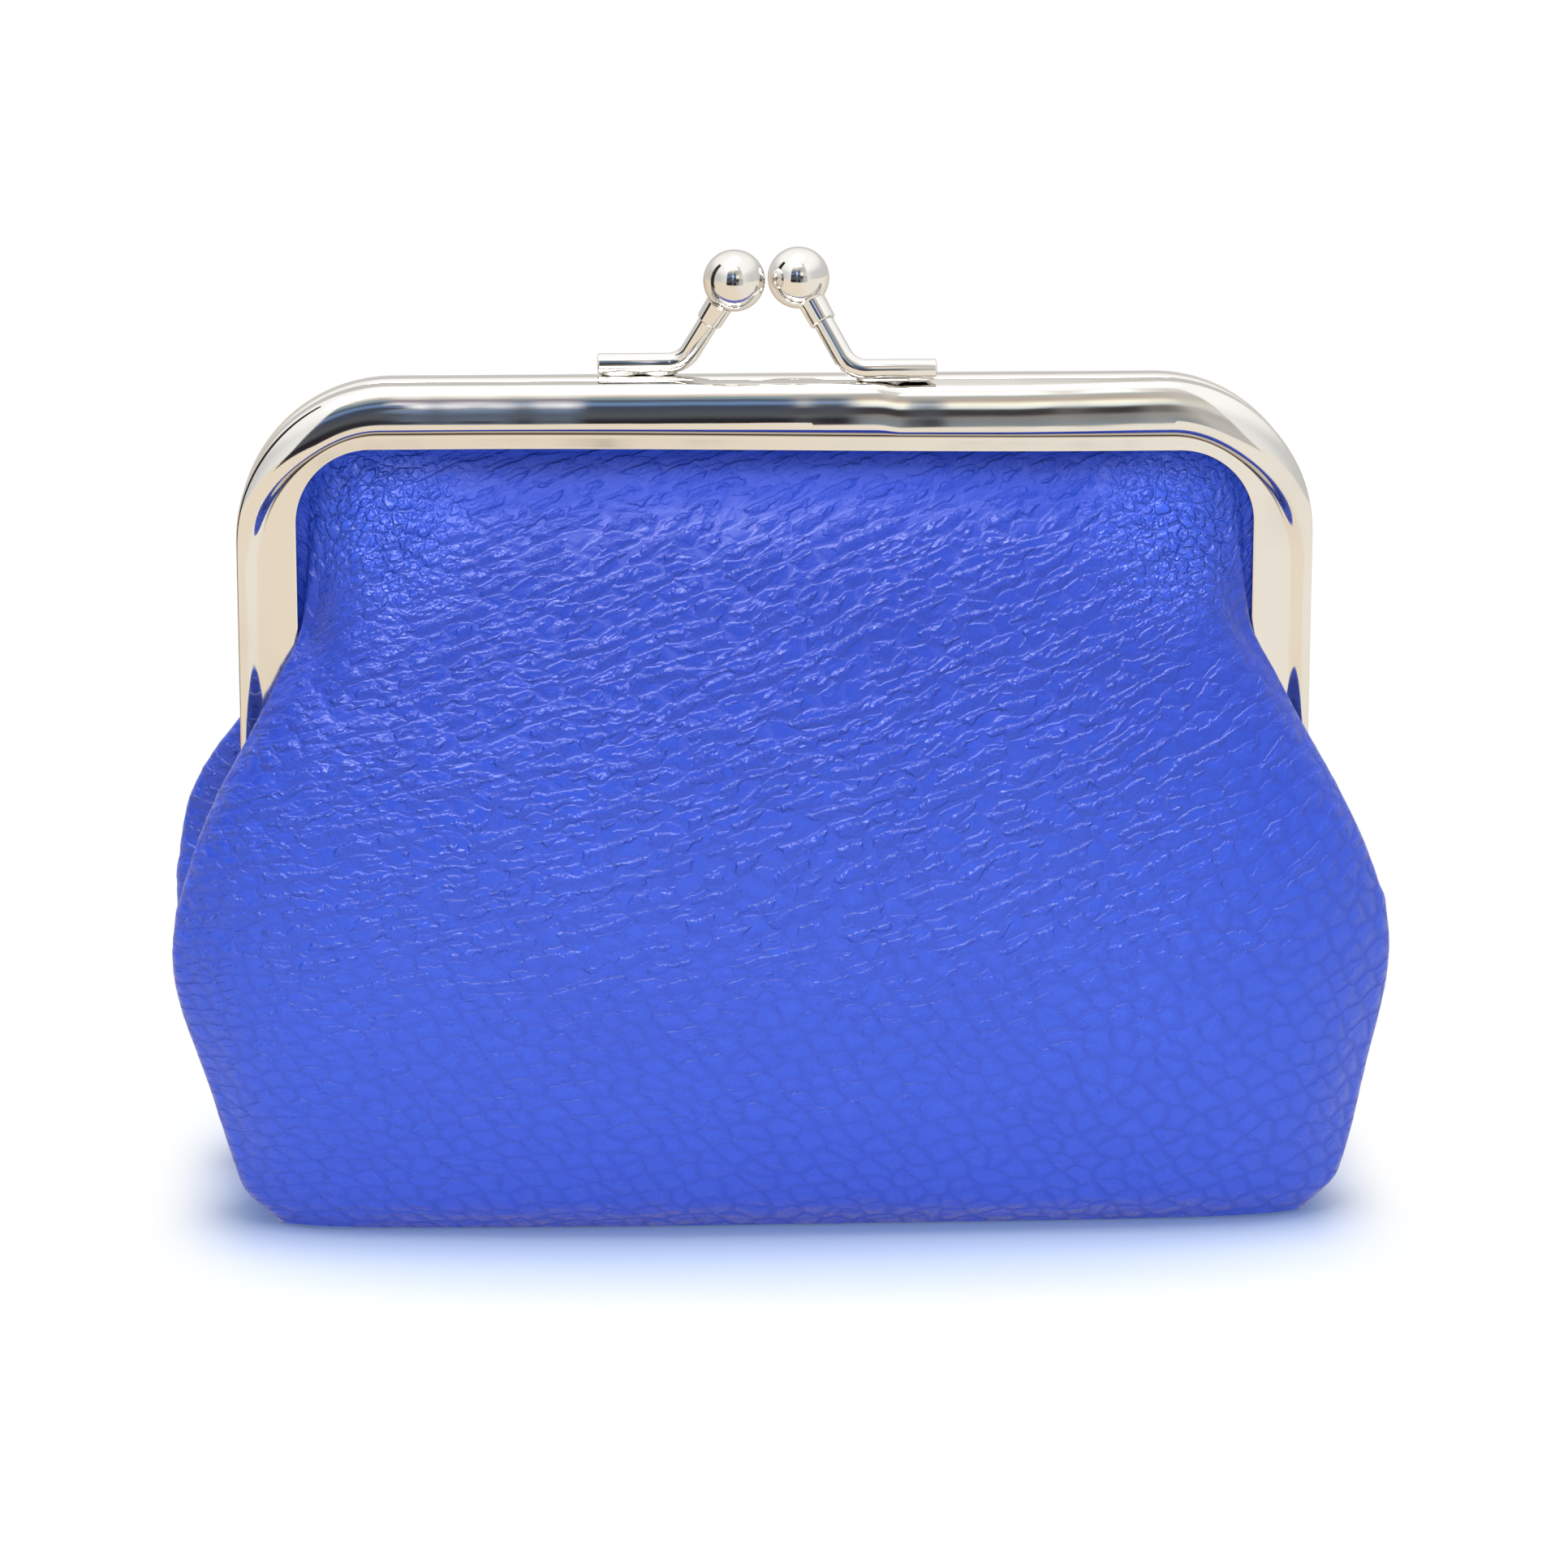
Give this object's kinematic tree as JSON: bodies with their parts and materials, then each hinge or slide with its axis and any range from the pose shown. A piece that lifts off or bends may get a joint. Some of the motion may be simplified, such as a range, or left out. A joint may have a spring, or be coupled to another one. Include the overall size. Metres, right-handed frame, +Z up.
{
  "type": "kiss-lock coin purse",
  "caption": "Leather coin purse on a nickel-plated hinged channel frame with a crossed-ball kiss-lock clasp; both frame halves swing open about side rivets.",
  "frame": {"origin": "middle of the flat base, at the surface it rests on, in the closing plane between the two frame halves", "axes": "+X along the frame to the right seen from the front, the front face looks along -Y, +Z up to the clasp"},
  "size_m": [0.1114, 0.0388, 0.0878],
  "materials": {
    "nickel_plate": "polished nickel plate on steel, slightly warm",
    "blue_leather": "royal blue pebble grain, soft sheen",
    "lining_cloth": "plain woven lining, matte",
    "kraft_paper": "twisted kraft paper cord",
    "blue_thread": "twisted polyester thread"
  },
  "bodies": {
    "bag": {"front_leather_lower": "blue_leather", "rear_leather_lower": "blue_leather", "base_leather": "blue_leather", "front_lining_lower": "lining_cloth", "rear_lining_lower": "lining_cloth", "base_lining": "lining_cloth", "left_side_stitching": "blue_thread", "right_side_stitching": "blue_thread", "left_hinge_rivet": "nickel_plate", "right_hinge_rivet": "nickel_plate"},
    "front_half": {"front_frame": "nickel_plate", "front_clasp_arm": "nickel_plate", "front_clasp_ball": "nickel_plate", "front_paper_cord": "kraft_paper", "front_leather_upper": "blue_leather", "front_lining_upper": "lining_cloth"},
    "rear_half": {"rear_frame": "nickel_plate", "rear_clasp_arm": "nickel_plate", "rear_clasp_ball": "nickel_plate", "rear_paper_cord": "kraft_paper", "rear_leather_upper": "blue_leather", "rear_lining_upper": "lining_cloth"}
  },
  "joints": [
    {"name": "front_hinge", "type": "hinge", "parent": "bag", "child": "front_half", "pos_m": [0, 0, 0.034], "axis": [1, 0, 0], "range_deg": [0, 45], "deforming": ["front_leather_upper", "front_lining_upper"]},
    {"name": "rear_hinge", "type": "hinge", "parent": "bag", "child": "rear_half", "pos_m": [0, 0, 0.034], "axis": [-1, 0, 0], "range_deg": [0, 45], "deforming": ["rear_leather_upper", "rear_lining_upper"]}
  ],
  "couplings": [
    {"joint": "rear_hinge", "follows": "front_hinge", "ratio": 1}
  ]
}
